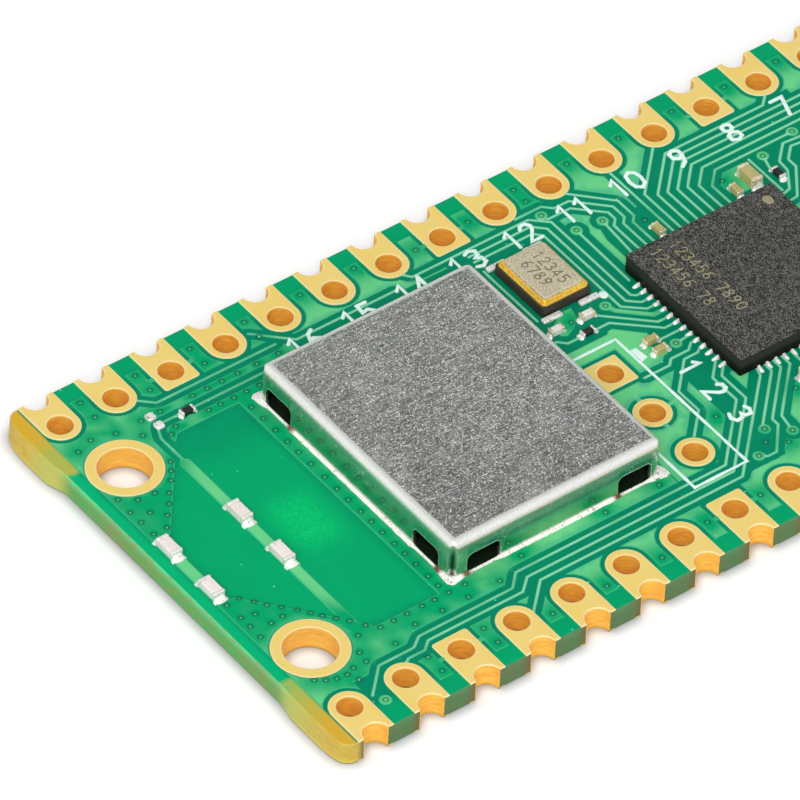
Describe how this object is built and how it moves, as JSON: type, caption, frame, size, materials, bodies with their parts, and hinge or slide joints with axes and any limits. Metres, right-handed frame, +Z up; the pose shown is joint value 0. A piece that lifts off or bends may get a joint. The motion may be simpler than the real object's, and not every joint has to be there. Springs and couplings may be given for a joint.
{
  "type": "microcontroller development board",
  "caption": "Slim circuit board with half-hole pins along both long edges, a shielded radio beside a printed antenna, a processor, a USB socket and a boot button.",
  "frame": {"origin": "centre of the four mounting holes, on the board's underside", "axes": "+X across the board, +Y along it towards the USB socket, +Z up out of the side that carries the parts"},
  "size_m": [0.021, 0.0523, 0.0035],
  "materials": {
    "green_laminate": "satin solder mask over woven laminate",
    "gold_plating": "gold over nickel, satin",
    "masked_copper": "copper under green solder mask",
    "can_sheet": "brushed tinned sheet",
    "solder": "bright reflowed solder",
    "black_mould": "moulded epoxy",
    "processor_mould": "moulded epoxy with a fine grain",
    "crystal_lid_metal": "plated lid",
    "crystal_ceramic": "fired dark ceramic",
    "crystal_gold": "gold plated seal ring",
    "tinned_leads": "tinned",
    "ferrite": "pressed metal powder",
    "socket_steel": "plated sheet",
    "socket_mould": "moulded",
    "contact_gold": "gold plated",
    "button_steel": "plated sheet",
    "button_ivory": "moulded",
    "white_ceramic": "fired white ceramic",
    "lens_epoxy": "clear epoxy",
    "tan_ceramic": "fired tan ceramic",
    "resistor_glaze": "black glaze",
    "chip_ends": "tinned, wetted by solder"
  },
  "bodies": {
    "board": {"left_edge_pads": "gold_plating", "right_edge_pads": "gold_plating", "mounting_hole_plating": "gold_plating", "debug_pads": "gold_plating", "wiring_board": "green_laminate", "antenna_strips": "masked_copper", "shield_can": "can_sheet", "shield_solder": "solder", "crystal_solder": "solder", "feed_solder": "solder", "radio_chip": "black_mould", "flash_body": "black_mould", "regulator_body": "black_mould", "diode_body": "black_mould", "transistor_body": "black_mould", "mcu_body": "processor_mould", "radio_crystal": "crystal_lid_metal", "crystal_lid": "crystal_lid_metal", "crystal_base": "crystal_ceramic", "crystal_ring": "crystal_gold", "mcu_leads": "tinned_leads", "flash_leads": "tinned_leads", "regulator_leads": "tinned_leads", "diode_leads": "tinned_leads", "transistor_leads": "tinned_leads", "inductor_ends": "tinned_leads", "button_terminals": "tinned_leads", "inductor_body": "ferrite", "usb_shell": "socket_steel", "usb_housing": "socket_mould", "button_base": "socket_mould", "usb_contacts": "contact_gold", "led_ends": "contact_gold", "button_cover": "button_steel", "button_dome": "button_steel", "led_base": "white_ceramic", "load_capacitor_bodies": "white_ceramic", "antenna_part_bodies": "white_ceramic", "led_lens": "lens_epoxy", "capacitor_bodies": "tan_ceramic", "radio_part_bodies": "tan_ceramic", "resistor_bodies": "resistor_glaze", "feed_part_body": "resistor_glaze", "capacitor_ends": "chip_ends", "radio_part_ends": "chip_ends", "load_capacitor_ends": "chip_ends", "resistor_ends": "chip_ends", "antenna_part_ends": "chip_ends", "feed_part_ends": "chip_ends"},
    "boot_button": {"button_plunger": "button_ivory"}
  },
  "joints": [
    {"name": "boot_button_press", "type": "slide", "parent": "board", "child": "boot_button", "axis": [0, 0, -1], "range_m": [0, 0.00025], "stiffness_N_per_m": 4000}
  ]
}
